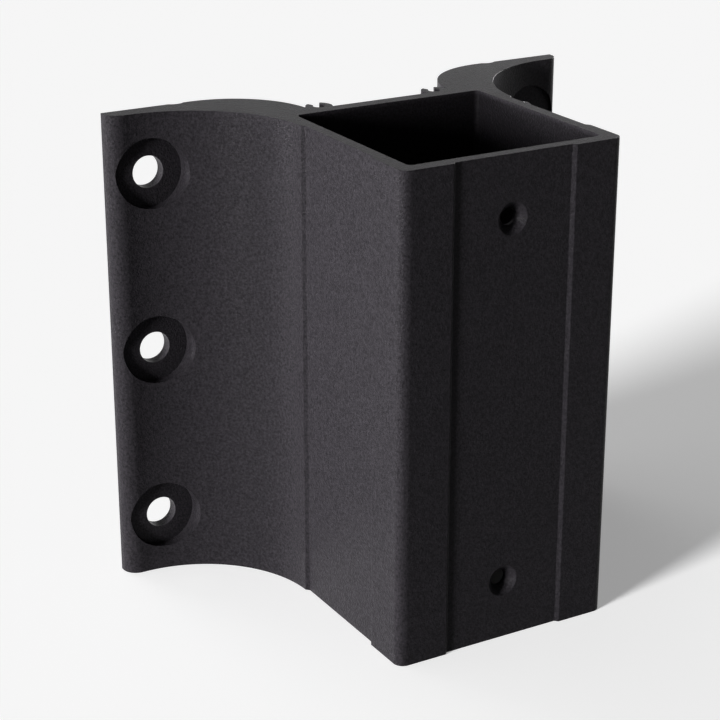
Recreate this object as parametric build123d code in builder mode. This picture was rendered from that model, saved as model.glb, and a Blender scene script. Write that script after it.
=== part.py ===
from build123d import *
from math import radians, tan
import os

# Fascia mount bracket for a square railing post.
# One aluminium extrusion, sawn square to length, then drilled and counterbored. In section it is a
# square socket with a wing on each side. Each wing is hollowed by a large cove in front and rounded
# behind, and ends in a flat pad that bears on the fascia. Two open screw ports run down the back.
#
# The fascia is the plane Y = 0 and the post stands on its -Y side. +Z is up, X = 0 is the middle,
# and Z = 0 is half way up, so the origin is the centre of the fascia bolt pattern. Millimetres.

# Length of the sawn piece
height = 152.4

# Square post and the socket round it
post_size = 63.5
post_clearance = 1.27
wall = 4.76
socket_corner_radius = 1.5
outer_corner_radius = 3.2

# Fascia to the outer face of the socket's back wall
standoff = 27.0

# Shallow flat recess with sloped sides, one in the middle of each open face of the socket
recess_floor_width = 39.4
recess_depth = 1.02
recess_slope = 45

# Wings: thickness at the tip, front cove, flat land between the cove and the tip
wing_thickness = 6.1
cove_radius = 38.8
wing_land = 6.05
tip_radius = 4.76

# Shallow round groove down each pad, from the pad's inner edge to the middle of the groove
groove_inset = 4.9
groove_radius = 3.9
groove_depth = 0.9

# Screw ports on the back wall: how far in from the socket's sides, boss, bore and mouth
port_inset = 16.5
port_boss_radius = 4.2
port_bore_radius = 1.96
port_centre_rise = 2.3
port_top_rise = 5.8
port_throat_rise = 4.2
port_throat_width = 2.5
port_mouth_width = 3.8

# Narrow web between each screw port and the root of the wing
web_width = 0.35
web_rise = 2.9

# Fascia bolt holes, counterbored from the front, in evenly spaced rows
bolt_hole_diameter = 10.1
bolt_counterbore_diameter = 22.2
bolt_counterbore_depth = 2.0
bolt_rows = 3
bolt_end_distance = 19.05
bolt_tip_distance = 13.0

# Countersunk holes in the front wall, for the screws that hold the post
screw_hole_diameter = 5.1
screw_countersink_diameter = 9.8
screw_countersink_angle = 82
screw_end_distance = 19.05

# How far a cutting outline reaches past the face that it opens
overcut = 0.5

# Worked out from the sizes above
half_outer = (post_size + post_clearance) / 2 + wall
socket_centre_y = -standoff - half_outer
front_face = standoff + 2 * half_outer
half_span = half_outer + cove_radius + wing_land
port_x = half_outer - port_inset
pad_inner_x = port_x + port_boss_radius + web_width + standoff
bolt_spacing_x = 2 * (half_span - bolt_tip_distance)
bolt_spacing_z = (height - 2 * bolt_end_distance) / (bolt_rows - 1)
screw_spacing_z = height - 2 * screw_end_distance


# Section of the wing on the +X side. Its cove and the round behind it are quarter circles: the cove
# runs from the wing's front face to the side of the socket, the round from the pad to the back wall.
with BuildSketch() as wing:
    with BuildLine():
        cove_centre = (half_outer + cove_radius, -wing_thickness - cove_radius)
        cove = CenterArc(cove_centre, cove_radius, 90, 90)
        back_round = CenterArc((pad_inner_x, -standoff), standoff, 90, 90)
        Polyline(cove @ 0, (half_span, -wing_thickness), (half_span, 0), back_round @ 0)
        Polyline(back_round @ 1, (half_outer, -standoff), cove @ 1)
    make_face()
    front_tip = wing.vertices().group_by(Axis.X)[-1].sort_by(Axis.Y)[0]
    fillet(front_tip, tip_radius)


# Section of one screw port, standing on the X axis: a round boss with a flat top
with BuildSketch() as port_boss:
    with Locations((0, port_centre_rise)):
        Circle(port_boss_radius)
    with Locations((0, port_top_rise)):
        Rectangle(2 * port_boss_radius, port_boss_radius, align=(Align.CENTER, Align.MIN), mode=Mode.SUBTRACT)


# What is cut out of that boss: its bore, the throat above the bore and the flared mouth
flare = (port_mouth_width - port_throat_width) / (port_top_rise - port_throat_rise)
open_width = port_mouth_width + flare * overcut
with BuildSketch() as port_cut:
    with Locations((0, port_centre_rise)):
        Circle(port_bore_radius)
    with BuildLine():
        lip = Polyline(
            (0, port_centre_rise),
            (port_throat_width / 2, port_centre_rise),
            (port_throat_width / 2, port_throat_rise),
            (open_width / 2, port_top_rise + overcut),
            (0, port_top_rise + overcut),
        )
        mirror(lip, about=Plane.YZ)
    make_face()


# Section of one recess, with its floor on the X axis and opening to -Y
recess_reach = recess_depth + overcut
with BuildSketch() as recess:
    Trapezoid(
        recess_floor_width + 2 * recess_reach / tan(radians(recess_slope)),
        recess_reach,
        recess_slope,
        align=(Align.CENTER, Align.MAX),
    )


with BuildPart() as bracket:
    with BuildSketch(Plane.XY.offset(-height / 2)) as section:
        # Outside of the socket
        with Locations((0, socket_centre_y)):
            Rectangle(2 * half_outer, 2 * half_outer)
        fillet(section.vertices().group_by(Axis.Y)[0], outer_corner_radius)

        # Wings, screw ports and the web beside each port
        add(wing.sketch)
        mirror(wing.sketch, about=Plane.YZ)
        with Locations((-port_x, -standoff), (port_x, -standoff)):
            add(port_boss.sketch)
        for side, toward_wing in ((-1, Align.MAX), (1, Align.MIN)):
            with Locations((side * port_x, -standoff)):
                Rectangle(port_inset, web_rise, align=(toward_wing, Align.MIN))
        with Locations((-port_x, -standoff), (port_x, -standoff)):
            add(port_cut.sketch, mode=Mode.SUBTRACT)

        # A recess in the front face and in each side of the socket
        recess_distance = half_outer - recess_depth
        front = Location((0, socket_centre_y - recess_distance, 0))
        right_side = Location((recess_distance, socket_centre_y, 0), (0, 0, 90))
        left_side = Location((-recess_distance, socket_centre_y, 0), (0, 0, -90))
        with Locations(front, right_side, left_side):
            add(recess.sketch, mode=Mode.SUBTRACT)

        # Groove down the middle of each pad
        groove_x = pad_inner_x + groove_inset
        groove_y = groove_radius - groove_depth
        with Locations((-groove_x, groove_y), (groove_x, groove_y)):
            Circle(groove_radius, mode=Mode.SUBTRACT)

        # Socket for the post
        with Locations((0, socket_centre_y)):
            socket_width = post_size + post_clearance
            RectangleRounded(socket_width, socket_width, socket_corner_radius, mode=Mode.SUBTRACT)
    extrude(amount=height)

    # Bolt holes through both wings
    with Locations(Plane.XZ.offset(wing_thickness)):
        with GridLocations(bolt_spacing_x, bolt_spacing_z, 2, bolt_rows):
            CounterBoreHole(bolt_hole_diameter / 2, bolt_counterbore_diameter / 2, bolt_counterbore_depth)

    # Screw holes through the front wall only
    with Locations(Plane.XZ.offset(front_face - recess_depth)):
        with GridLocations(0, screw_spacing_z, 1, 2):
            CounterSinkHole(
                screw_hole_diameter / 2,
                screw_countersink_diameter / 2,
                depth=wall,
                counter_sink_angle=screw_countersink_angle,
            )

bracket.part.label = "bracket"

os.makedirs("parts", exist_ok=True)
export_step(bracket.part, "parts/bracket.step")
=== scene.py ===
from math import cos, pi, radians, sin, tan

import bmesh
import bpy
import numpy as np
from mathutils import Euler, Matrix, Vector
from mathutils.geometry import delaunay_2d_cdt


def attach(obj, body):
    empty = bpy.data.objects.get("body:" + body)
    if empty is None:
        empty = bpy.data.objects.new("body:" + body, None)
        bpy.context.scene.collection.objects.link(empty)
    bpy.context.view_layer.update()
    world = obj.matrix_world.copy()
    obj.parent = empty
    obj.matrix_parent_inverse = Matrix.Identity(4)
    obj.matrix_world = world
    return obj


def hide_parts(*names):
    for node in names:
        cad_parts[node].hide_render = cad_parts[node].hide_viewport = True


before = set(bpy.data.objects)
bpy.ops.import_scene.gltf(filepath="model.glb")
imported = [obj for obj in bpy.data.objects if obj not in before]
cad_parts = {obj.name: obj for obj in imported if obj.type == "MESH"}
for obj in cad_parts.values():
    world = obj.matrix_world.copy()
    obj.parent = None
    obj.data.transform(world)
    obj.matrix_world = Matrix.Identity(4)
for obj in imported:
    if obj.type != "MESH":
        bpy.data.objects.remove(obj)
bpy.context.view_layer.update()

mm = 0.001


# The extruded body
# The real piece is one length of aluminium extrusion, sawn square at both ends: a square socket with a
# coved wing on each side and two open screw ports behind. The die leaves every corner slightly round.
length = 152.4
front_y = -101.29
socket_side_x = 37.145
socket_middle_y = -64.145
back_wall_y = -27.0
socket_inner = 64.77
socket_corner = 1.5
outer_corner = 3.2
recess_half = 19.7
recess_deep = 1.02
cove_middle = (75.945, -44.9)
cove_radius = 38.8
wing_front_y = -6.1
wing_tip_x = 81.995
wing_tip_radius = 4.76
pad_inner_x = 52.195
groove_middle = (57.095, 3.0)
groove_radius = 3.9
port_middle = (20.645, -24.7)
port_outer = 4.2
port_bore = 1.96
port_top_y = -21.2
port_throat_y = -22.8
port_throat_half = 1.25
port_mouth_half = 1.9
web_y = -24.1

# Degrees between neighbouring points on each of the section's arcs
small_round_step = 7.5
socket_corner_step = 9.0
port_bore_step = 12.0
groove_step = 6.0
cove_step = 1.0
back_round_step = 1.5


def arc(middle, radius, start, end, step):
    """Points on a circle: middle plus radius times the cosine and sine of evenly spaced angles."""
    count = max(3, int(abs(end - start) / step) + 1)
    angles = np.radians(np.linspace(start, end, count))
    return np.stack([middle[0] + radius * np.cos(angles), middle[1] + radius * np.sin(angles)], 1)


def angle_on(radius, offset):
    """Angle, in degrees above the X axis, at which a circle's height is the given offset."""
    return np.degrees(np.arcsin(offset / radius))


# Where the 45 degree side of the side recess runs into the cove: the first point on that line whose
# distance from the cove's middle is the cove's radius
side_recess = (socket_middle_y - recess_half, socket_middle_y + recess_half)
recess_from_cove = (socket_side_x - recess_deep - cove_middle[0], side_recess[1] - cove_middle[1])
too_near = sum(offset * offset for offset in recess_from_cove) - cove_radius**2
slope_run = np.roots([2, 2 * sum(recess_from_cove), too_near]).min()
slope_meets_cove = np.degrees(np.arctan2(recess_from_cove[1] + slope_run, recess_from_cove[0] + slope_run))

# Right half of the outline, from the middle of the front round to the middle of the back
groove_reach = angle_on(groove_radius, -groove_middle[1])
web_on_round = 180 - angle_on(-back_wall_y, web_y - back_wall_y)
web_on_port = angle_on(port_outer, web_y - port_middle[1])
port_flat = angle_on(port_outer, port_top_y - port_middle[1])
port_foot = angle_on(port_outer, back_wall_y - port_middle[1])
throat_on_bore = np.degrees(np.arccos(port_throat_half / port_bore))
right_half = [
    [(0, front_y + recess_deep), (recess_half, front_y + recess_deep), (recess_half + recess_deep, front_y)],
    arc((socket_side_x - outer_corner, front_y + outer_corner), outer_corner, -90, 0, small_round_step),
    [(socket_side_x, side_recess[0] - recess_deep), (socket_side_x - recess_deep, side_recess[0])],
    [(socket_side_x - recess_deep, side_recess[1])],
    arc(cove_middle, cove_radius, slope_meets_cove, 90, cove_step),
    arc((wing_tip_x - wing_tip_radius, wing_front_y + wing_tip_radius), wing_tip_radius, -90, 0,
        small_round_step),
    [(wing_tip_x, 0)],
    arc(groove_middle, groove_radius, groove_reach, -180 - groove_reach, groove_step),
    arc((pad_inner_x, back_wall_y), -back_wall_y, 90, web_on_round, back_round_step),
    arc(port_middle, port_outer, web_on_port, port_flat, small_round_step),
    [(port_middle[0] + port_mouth_half, port_top_y), (port_middle[0] + port_throat_half, port_throat_y)],
    arc(port_middle, port_bore, throat_on_bore, -180 - throat_on_bore, port_bore_step),
    [(port_middle[0] - port_throat_half, port_throat_y), (port_middle[0] - port_mouth_half, port_top_y)],
    arc(port_middle, port_outer, 180 - port_flat, 180 - port_foot, small_round_step),
    [(0, back_wall_y)],
]
right_half = np.vstack([np.array(part, float) for part in right_half])


def mirrored(half):
    """The same points with X reversed, in the opposite order, so that the outline keeps its direction."""
    return half[::-1] * (-1, 1)


outline = np.vstack([right_half, mirrored(right_half)[1:-1]])
inner_half = socket_inner / 2
corner_x = inner_half - socket_corner
corner_low, corner_high = socket_middle_y - corner_x, socket_middle_y + corner_x
bore_half = np.vstack([
    [(0, socket_middle_y - inner_half)],
    arc((corner_x, corner_low), socket_corner, -90, 0, socket_corner_step),
    arc((corner_x, corner_high), socket_corner, 0, 90, socket_corner_step),
    [(0, socket_middle_y + inner_half)],
])
bore = np.vstack([bore_half, mirrored(bore_half)[1:-1]])

# How far the die rounds a corner along each of its sides, on the body and on the small screw ports
body_round = 0.2
port_round = 0.13
port_zone_beside = 1.0
port_zone_top_y = -20.6
port_zone_foot_y = back_wall_y + 0.2
corner_turn = 12.0
corner_points = 7
corner_clearance = 1.15
station_digits = 6
fine_pitch = 0.01


def softened(loop):
    """Rounds a closed outline's corners.

    Each new point is the mean of the old outline over a short reach to both sides of it, which leaves
    straight runs as they are. The direction there is the chord between the two ends of that reach.
    Near each corner there are several points, and elsewhere the old ones stay. Returns the points, the
    directions that face out of the outline, and how far each corner near them was rounded.
    """
    closed = np.vstack([loop, loop[:1]])
    steps = np.linalg.norm(np.diff(closed, axis=0), axis=1)
    along = np.concatenate([[0], np.cumsum(steps)])
    total = along[-1]
    run = np.diff(closed, axis=0) / steps[:, None]
    before = np.roll(run, 1, axis=0)
    across = before[:, 0] * run[:, 1] - before[:, 1] * run[:, 0]
    turn = np.degrees(np.abs(np.arctan2(across, (before * run).sum(1))))
    in_port = np.abs(loop[:, 0]) < port_middle[0] + port_outer + port_zone_beside
    in_port &= (loop[:, 1] < port_zone_top_y) & (loop[:, 1] > port_zone_foot_y)
    reach = np.where(in_port, port_round, body_round)
    sharp = turn > corner_turn
    spread = np.linspace(-1, 1, corner_points)
    near = (along[:-1][sharp, None] + reach[sharp, None] * spread).ravel()
    plain = along[:-1][~sharp]
    corners = np.append(along[:-1][sharp], np.inf)
    clear = np.abs(plain[:, None] - corners[None]).min(1) > corner_clearance * reach[~sharp]
    station = np.unique(np.round(np.concatenate([near, plain[clear]]) % total, station_digits))

    fine = np.linspace(-1, total + 1, int((total + 2) / fine_pitch))
    place = np.stack([np.interp(fine % total, along, closed[:, axis]) for axis in (0, 1)], 1)
    heaped = np.cumsum(place, axis=0) * (fine[1] - fine[0])

    def read(table, where):
        """The table's two columns at the given distances along the outline."""
        return np.stack([np.interp(where, fine, table[:, axis]) for axis in (0, 1)], 1)

    nearest = np.abs(station[:, None] - along[:-1][None]).argmin(1)
    width = reach[nearest]
    point = (read(heaped, station + width) - read(heaped, station - width)) / (2 * width[:, None])
    chord = read(place, station + width) - read(place, station - width)
    chord /= np.linalg.norm(chord, axis=1)[:, None]
    return point, np.stack([chord[:, 1], -chord[:, 0]], 1), width


# Rounding left by deburring along the sawn ends, as a share of the die's rounding of the same outline,
# its steps, and the width of rounding and flat band together as a multiple of it
end_share = 0.5
end_steps = 3
rim_band = 1.5

# Heights of the grid's rows, through the middles of the drilled holes and in the plain metal between them
row_heights = np.array([-71.5, -57.15, -42, -28.6, -14.5, 0, 14.5, 28.6, 42, 57.15, 71.5])


def prism(loop, outward, rounding):
    """A loop carried along Z as a grid.

    The first parameter runs along the piece and the second round the loop. Over the last stretch at each
    end the loop draws in along its own normals on a quarter circle, which rounds the sawn edge, and then
    a little further in the plane of the cut.
    """
    bend = np.linspace(0, pi / 2, end_steps + 1)[:, None]
    reach = end_share * rounding[None]
    low = np.concatenate([-length / 2 + reach * (1 - np.sin(bend)), -length / 2 + 0 * reach])
    inset = np.concatenate([reach * (1 - np.cos(bend)), reach * rim_band])
    plain = np.broadcast_to(row_heights[:, None], (len(row_heights), len(loop)))
    heights = np.concatenate([low[::-1], plain, -low])
    insets = np.concatenate([inset[::-1], 0 * plain, inset])
    grid = loop[None] - insets[..., None] * outward[None]
    return np.concatenate([grid, heights[..., None]], 2)


def grid_faces(rows, count, first, flipped):
    """Quads between neighbouring rows of a grid whose rows are closed loops, numbered from first."""
    row, column = np.meshgrid(np.arange(rows - 1) * count, np.arange(count), indexing="ij")
    after = (column + 1) % count
    quad = np.stack([row + column, row + after, row + count + after, row + count + column], -1)
    quad = quad.reshape(-1, 4) + first
    return quad[:, ::-1] if flipped else quad


outer_points, outer_normals, outer_rounding = softened(outline)
bore_points, bore_normals, bore_rounding = softened(bore)
outer_grid = prism(outer_points, outer_normals, outer_rounding)
bore_grid = prism(bore_points, -bore_normals, bore_rounding)
rows_total = len(outer_grid)
outer_count, bore_count = len(outer_points), len(bore_points)
bore_first = rows_total * outer_count
vertices = np.vstack([outer_grid.reshape(-1, 3), bore_grid.reshape(-1, 3)]) * mm
faces = np.vstack([
    grid_faces(rows_total, outer_count, 0, False),
    grid_faces(rows_total, bore_count, bore_first, True),
]).tolist()
inside_outline = 1
same_point = 1e-6


def sawn_end(row):
    """Triangles that fill one sawn end, between the last loop of the outline and that of the socket.

    The socket's loop has no hollow side, so a triangle with all its corners on it lies in the opening.
    """
    loops = [(outer_grid[row], row * outer_count), (bore_grid[row], bore_first + row * bore_count)]
    flat = [Vector(point[:2]) for points, first in loops for point in points]
    number = [first + k for points, first in loops for k in range(len(points))]
    rings = [list(range(outer_count)), list(range(outer_count, outer_count + bore_count))]
    filled = delaunay_2d_cdt(flat, [], rings, inside_outline, same_point)
    triangles = [[filled[3][k][0] for k in face] for face in filled[2]]
    return [[number[k] for k in corners] for corners in triangles if min(corners) < outer_count]


faces += sawn_end(rows_total - 1)
faces += [face[::-1] for face in sawn_end(0)]

body = bpy.data.meshes.new("extrusion")
body.from_pydata(vertices.tolist(), [], faces)
body.validate()


# The drilled holes
# Six bolt holes go through the wings, each with a wide flat counterbore for a washer and bolt head. Two
# small countersunk holes in the front wall take the screws that hold the post.
bolt_x = 68.995
bolt_rise = 57.15
bolt_radius = 5.05
counterbore_radius = 11.1
counterbore_floor_y = -4.1
past_the_pad_y = 1.0
screw_rise = 57.15
screw_radius = 2.55
countersink_radius = 4.9
countersink_half_angle = 41.0
past_the_wall = 2.0
edge_break = 0.1
edge_points = 4
cutter_turns = 128

# Radii of the countersink at the face and just below it, which ease its mouth, and how far below
mouth_radii = (countersink_radius + 0.12, countersink_radius - 0.06)
mouth_depth = 0.1


def lathe(profile, x, z):
    """A cutter turned round an axis along Y: each of the profile's radii swept round, at the profile's Y."""
    angles = np.linspace(0, 2 * pi, cutter_turns, endpoint=False)
    radius, along_y = np.array(profile, float).T
    grid = np.stack([
        x + radius[:, None] * np.cos(angles),
        np.broadcast_to(along_y[:, None], (len(radius), cutter_turns)),
        z + radius[:, None] * np.sin(angles),
    ], -1)
    sides = grid_faces(len(radius), cutter_turns, 0, True)
    last = (len(radius) - 1) * cutter_turns
    ends = [list(range(cutter_turns)), list(range(last, last + cutter_turns))[::-1]]
    return grid.reshape(-1, 3) * mm, sides.tolist() + ends


def eased(radius, face_y, direction):
    """Profile points that open a hole's mouth on a quarter circle, where a burr was taken off its rim."""
    return [
        (radius + edge_break * (1 - cos(bend)), face_y + direction * edge_break * (1 - sin(bend)))
        for bend in np.linspace(0, pi / 2, edge_points)
    ]


bolt_profile = (
    [(counterbore_radius, front_y), (counterbore_radius, counterbore_floor_y)]
    + eased(bolt_radius, counterbore_floor_y, 1)[::-1]
    + [(bolt_radius, past_the_pad_y)]
)
countersink_y = front_y + recess_deep
sink_depth = (countersink_radius - screw_radius) / tan(radians(countersink_half_angle))
inner_face_y = socket_middle_y - inner_half
screw_profile = (
    [(mouth_radii[0], countersink_y - past_the_wall), (mouth_radii[0], countersink_y)]
    + [(mouth_radii[1], countersink_y + mouth_depth), (screw_radius, countersink_y + sink_depth)]
    + eased(screw_radius, inner_face_y, -1)
    + [(screw_radius + edge_break, inner_face_y + past_the_wall)]
)
cutter_points, cutter_faces = [], []
holes = [(bolt_profile, side * bolt_x, row * bolt_rise) for side in (-1, 1) for row in (-1, 0, 1)]
holes += [(screw_profile, 0, row * screw_rise) for row in (-1, 1)]
for profile, x, z in holes:
    points, hole_faces = lathe(profile, x, z)
    first = sum(len(part) for part in cutter_points)
    cutter_points.append(points)
    cutter_faces += [[first + k for k in face] for face in hole_faces]
drills = bpy.data.meshes.new("drills")
drills.from_pydata(np.vstack(cutter_points).tolist(), [], cutter_faces)

plain_finish = bpy.data.materials.new("as_extruded")
cut_finish = bpy.data.materials.new("as_drilled")
for metal in (body, drills):
    metal.materials.append(plain_finish)
    metal.materials.append(cut_finish)
drills.polygons.foreach_set("material_index", np.ones(len(drills.polygons), np.int32))
blank = bpy.data.objects.new("blank", body)
drill_set = bpy.data.objects.new("drill_set", drills)
for each in (blank, drill_set):
    bpy.context.scene.collection.objects.link(each)
drilling = blank.modifiers.new("drilling", "BOOLEAN")
drilling.operation = "DIFFERENCE"
drilling.solver = "EXACT"
drilling.object = drill_set
bpy.context.view_layer.update()
drilled = bpy.data.meshes.new_from_object(blank.evaluated_get(bpy.context.evaluated_depsgraph_get()))
for each in (blank, drill_set):
    bpy.data.objects.remove(each)

# The drilling leaves rims where a cut face meets an extruded one, and a light deburring rounds them, apart
# from the rims on the pads, which lie against the fascia
merge_reach = 0.03
rim_round = 0.11
rim_segments = 2
round_profile = 0.5
rim_turn = 25.0
pad_side_y = -0.5
sharp_turn = 35.0
shop = bmesh.new()
shop.from_mesh(drilled)
bmesh.ops.remove_doubles(shop, verts=shop.verts, dist=merge_reach * mm)
rims = [
    edge for edge in shop.edges
    if len(edge.link_faces) == 2
    and edge.link_faces[0].material_index != edge.link_faces[1].material_index
    and edge.calc_face_angle(0) > radians(rim_turn)
    and edge.verts[0].co.y < pad_side_y * mm
]
bmesh.ops.bevel(shop, geom=rims, offset=rim_round * mm, offset_type="OFFSET", segments=rim_segments,
                profile=round_profile, affect="EDGES", clamp_overlap=False, loop_slide=False)
for face in shop.faces:
    face.material_index = 0
    face.smooth = True
shop.to_mesh(drilled)
shop.free()
drilled.name = "coated_bracket"
drilled.set_sharp_from_angle(angle=radians(sharp_turn))
drilled.materials.clear()
coated = bpy.data.objects.new("coated_bracket", drilled)
bpy.context.scene.collection.objects.link(coated)
shading = coated.modifiers.new("flat_faces_stay_flat", "WEIGHTED_NORMAL")
shading.keep_sharp = True
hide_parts("bracket")
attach(coated, "root")


# The powder coat
# The drilled body is blasted, sprayed with black polyester powder and baked. The coat is thin, even and
# dull, with a fine dry grain. Down in the socket its colour is darkened towards black, as painted shade.
coat_black = (0.0286, 0.0261, 0.0301)
coat_ior = 1.12
grain_scale, grain_detail, grain_rough = 1900.0, 1.0, 0.6
peel_scale, peel_detail, peel_rough = 420.0, 1.0, 0.5
cloud_scale, cloud_detail, cloud_rough = 60.0, 2.0, 0.5
speck_scale, speck_detail, speck_rough = 1200.0, 2.0, 0.7
speck_range = (0.3, 0.7)
relief_height = 0.00019
grain_in_relief = 0.85
dark_speck, light_speck = 0.52, 1.48
speck_in_tint = 0.9
dull_mean, dull_by_grain, dull_by_cloud = 0.32, 0.12, 0.08
# Painted shade in the socket: how far past its walls it reaches, over what height it fades in at each end,
# and how far towards black it goes
socket_margin = 0.3
socket_shade_fade = 1.5
painted_socket_shade = 0.55


class Signal:
    """One output of a shader node. Arithmetic on it adds Math nodes to the same tree."""

    def __init__(self, tree, socket=None):
        self.tree = tree
        self.socket = socket

    def node(self, kind, settings, sockets, output=0):
        """Adds a node: its settings first, then a value or a Signal for each named or numbered socket."""
        made = self.tree.nodes.new(kind)
        for name, value in settings.items():
            setattr(made, name, value)
        for name, value in sockets.items():
            if isinstance(value, Signal):
                self.tree.links.new(value.socket, made.inputs[name])
            else:
                made.inputs[name].default_value = value
        return Signal(self.tree, made.outputs[output]) if made.outputs else made

    def math(self, operation, first, second):
        return self.node("ShaderNodeMath", {"operation": operation}, {0: first, 1: second})

    def __add__(self, other):
        return self.math("ADD", self, other)

    def __radd__(self, other):
        return self.math("ADD", other, self)

    def __sub__(self, other):
        return self.math("SUBTRACT", self, other)

    def __rsub__(self, other):
        return self.math("SUBTRACT", other, self)

    def __mul__(self, other):
        return self.math("MULTIPLY", self, other)

    def __rmul__(self, other):
        return self.math("MULTIPLY", other, self)


def coordinates(tree, kind):
    """Empties a node tree and gives its first signal, one kind of texture coordinates."""
    tree.nodes.clear()
    return Signal(tree).node("ShaderNodeTexCoord", {}, {}, kind)


def material(name):
    """A new node material and the piece's own coordinates, in metres."""
    made = bpy.data.materials.new(name)
    made.use_nodes = True
    return made, coordinates(made.node_tree, "Object")


def noise(place, scale, detail, rough):
    """Soft lumps, about scale of them to the metre, with finer ones on them."""
    return place.node("ShaderNodeTexNoise", {}, {
        "Vector": place, "Scale": scale, "Detail": detail, "Roughness": rough,
    })


def ramp(value, start, end, low=0.0, high=1.0, kind="LINEAR"):
    """Low up to the start and high from the end on, with a straight or a smooth passage between."""
    return value.node("ShaderNodeMapRange", {"interpolation_type": kind}, {
        "Value": value, "From Min": start, "From Max": end, "To Min": low, "To Max": high,
    })


def along(place, axis):
    """One coordinate of a place."""
    return place.node("ShaderNodeSeparateXYZ", {}, {"Vector": place}, axis)


def within(distance, reach):
    """One where the distance, to either side of nought, is less than the reach, and nought elsewhere."""
    return distance.math("LESS_THAN", distance * distance, reach**2)


def mixed(factor, first, second):
    """A colour part of the way from the first to the second."""
    return factor.node("ShaderNodeMix", {"data_type": "RGBA"}, {
        "Factor": factor, "A": first, "B": second,
    }, "Result")


def shade(colour, factor):
    """A colour made darker or lighter, with its alpha."""
    return tuple(factor * part for part in colour) + (1.0,)


powder, place = material("black_powder_coat")
grain = noise(place, grain_scale, grain_detail, grain_rough)
peel = noise(place, peel_scale, peel_detail, peel_rough)
cloud = noise(place, cloud_scale, cloud_detail, cloud_rough)
speck = ramp(noise(place, speck_scale, speck_detail, speck_rough), *speck_range)
relief = grain_in_relief * grain + (1 - grain_in_relief) * peel
texture = place.node("ShaderNodeBump", {}, {"Height": relief, "Strength": 1.0, "Distance": relief_height})

# Painted shade: the coat's colour is darkened in the socket, from a little below each sawn end on
socket_reach = (inner_half + socket_margin) * mm
socket_shade_mask = within(along(place, "X"), socket_reach)
socket_shade_mask = socket_shade_mask * within(along(place, "Y") - socket_middle_y * mm, socket_reach)
end_height = length / 2 * mm
height = along(place, "Z")
socket_shade_mask = socket_shade_mask * ramp(height * height, end_height**2, (end_height - socket_shade_fade * mm)**2)

speckle_and_painted_shade = mixed(
    speck_in_tint * speck + (1 - speck_in_tint) * cloud,
    shade(coat_black, dark_speck), shade(coat_black, light_speck),
)
# Painted shade: in the socket the coat's colour is mixed part of the way to black
speckle_and_painted_shade = mixed(painted_socket_shade * socket_shade_mask, speckle_and_painted_shade, shade(coat_black, 0.0))
dullness = dull_mean + dull_by_grain * (grain - 0.5) + dull_by_cloud * (cloud - 0.5)
coat = place.node("ShaderNodeBsdfPrincipled", {}, {
    "Base Color": speckle_and_painted_shade, "Roughness": dullness, "IOR": coat_ior, "Normal": texture,
}, "BSDF")
place.node("ShaderNodeOutputMaterial", {}, {"Surface": coat})
drilled.materials.append(powder)


# The floor
# The bracket stands on a plain pale sheet, matt and nearly white, wide enough to fill the view. It gives
# back less light than it shows, and inside the socket, where the studio's light doesn't get, it is dark.
floor_half = 6.0
floor_white = 0.85
floor_lift = 0.30
bounce_least = 0.03
bounce_fade = 0.24
bounce_slant = 0.6
footprint_half = 0.0345
floor_corners = np.array([(-1, -1, 0), (1, -1, 0), (1, 1, 0), (-1, 1, 0)], float)
floor_mesh = bpy.data.meshes.new("floor")
floor_mesh.from_pydata((floor_corners * floor_half - (0, 0, end_height)).tolist(), [], [(0, 1, 2, 3)])
floor = bpy.data.objects.new("floor", floor_mesh)
bpy.context.scene.collection.objects.link(floor)


def background_rays(anchor):
    """One for rays that show the background, seen straight, mirrored or through glass, nought for others."""
    kinds = ("Is Camera Ray", "Is Glossy Ray", "Is Transmission Ray")
    straight, in_mirror, through = (anchor.node("ShaderNodeLightPath", {}, {}, kind) for kind in kinds)
    return anchor.math("MINIMUM", straight + in_mirror + through, 1.0)


def grey(level):
    """A neutral colour of that level."""
    return (level, level, level, 1.0)


paper, spot = material("pale_paper")
across = along(spot, "X")
back = along(spot, "Y") - socket_middle_y * mm
uncovered = 1 - within(across, footprint_half) * within(back, footprint_half)
rearward = ramp(back - bounce_slant * across, 0.0, bounce_fade, low=bounce_least, kind="SMOOTHSTEP")
shown = background_rays(spot)
share = shown + (1 - shown) * rearward
sheet = spot.node("ShaderNodeBsdfDiffuse", {}, {"Color": mixed(share, grey(0.0), grey(floor_white))})
lift = spot.node("ShaderNodeEmission", {}, {"Color": mixed(share * uncovered, grey(0.0), grey(floor_lift))})
both = spot.node("ShaderNodeAddShader", {}, {0: sheet, 1: lift})
spot.node("ShaderNodeOutputMaterial", {}, {"Surface": both})
floor_mesh.materials.append(paper)


# The light
# Two low soft lamps on the left light the bracket, a higher one throws its shadow on the sheet, and a card
# on the far right lights the side that they leave. The dim studio fills in, before a pale backdrop.
backdrop_white = 0.93
backdrop_overhead = 0.2
backdrop_fade = (0.1, 0.6)
studio_dim = 0.02
studio_bright = 0.43
bright_side = (-0.75, 0.66, 0.1)
bright_reach = 0.9


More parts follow.
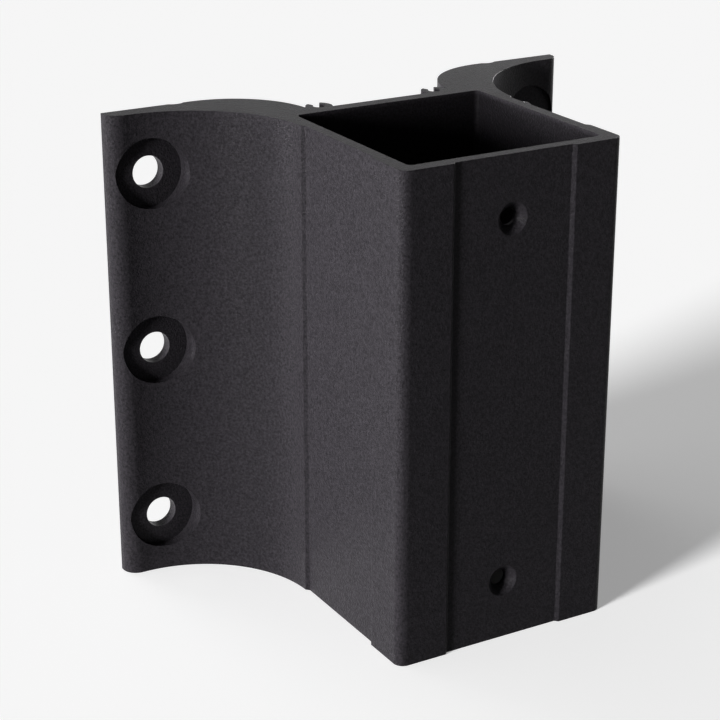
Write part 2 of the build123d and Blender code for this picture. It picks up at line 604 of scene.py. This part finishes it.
def lamp(name, toward, height, width, strength, lit=None):
    """A distant soft lamp.

    Toward is its plan direction in degrees from -X to -Y, height its angle above the floor, and strength
    what it gives a surface that faces it, where one makes a colour render as written. Lit is the only
    object that it lights.
    """
    made = bpy.data.lights.new(name, "SUN")
    made.angle = radians(width)
    made.energy = strength * pi
    holder = bpy.data.objects.new(name, made)
    plan, rise = radians(toward), radians(height)
    source = Vector((-cos(rise) * cos(plan), -cos(rise) * sin(plan), sin(rise)))
    holder.rotation_euler = source.to_track_quat("Z", "Y").to_euler()
    bpy.context.scene.collection.objects.link(holder)
    if lit:
        receivers = bpy.data.collections.new(name + "_lights")
        receivers.objects.link(lit)
        holder.light_linking.receiver_collection = receivers


lamp("left_softbox", toward=14.5, height=7.5, width=13.0, strength=1.11, lit=coated)
lamp("left_card", toward=-32.0, height=1.5, width=12.0, strength=1.11, lit=coated)
lamp("right_card", toward=208.0, height=4.0, width=30.0, strength=1.5, lit=coated)
lamp("left_softbox_on_sheet", toward=14.5, height=18.0, width=12.5, strength=1.76, lit=floor)
lamp("rear_softbox", toward=-75.0, height=50.0, width=24.0, strength=0.07)

studio = bpy.data.worlds.new("studio")
bpy.context.scene.world = studio
studio.use_nodes = True
aim = coordinates(studio.node_tree, "Generated")
leftward = aim.node("ShaderNodeVectorMath", {"operation": "DOT_PRODUCT"}, {0: aim, 1: bright_side}, "Value")
fill = ramp(leftward, 0.0, bright_reach, studio_dim, studio_bright, "SMOOTHSTEP")
white = ramp(along(aim, "Z"), *backdrop_fade, backdrop_white, backdrop_overhead, "SMOOTHSTEP")
shown = background_rays(aim)
backdrop = aim.node("ShaderNodeBackground", {}, {
    "Color": grey(1.0), "Strength": shown * white + (1 - shown) * fill,
})
aim.node("ShaderNodeOutputWorld", {}, {"Surface": backdrop})


# The camera
# It looks down from the front left through a long lens.
lens = 99.95
film_width = 36.0
nearest_seen = 0.01
eye_place = (-0.3078, -0.5470, 0.2220)
looks_down = 21.0
turned_right = 30.0
view = bpy.data.cameras.new("camera")
view.lens = lens
view.sensor_width = film_width
view.clip_start = nearest_seen
eye = bpy.data.objects.new("camera", view)
eye.location = eye_place
eye.rotation_euler = Euler((radians(90 - looks_down), 0, radians(-turned_right)))
bpy.context.scene.collection.objects.link(eye)
bpy.context.scene.camera = eye
bpy.context.scene.view_settings.view_transform = "Standard"
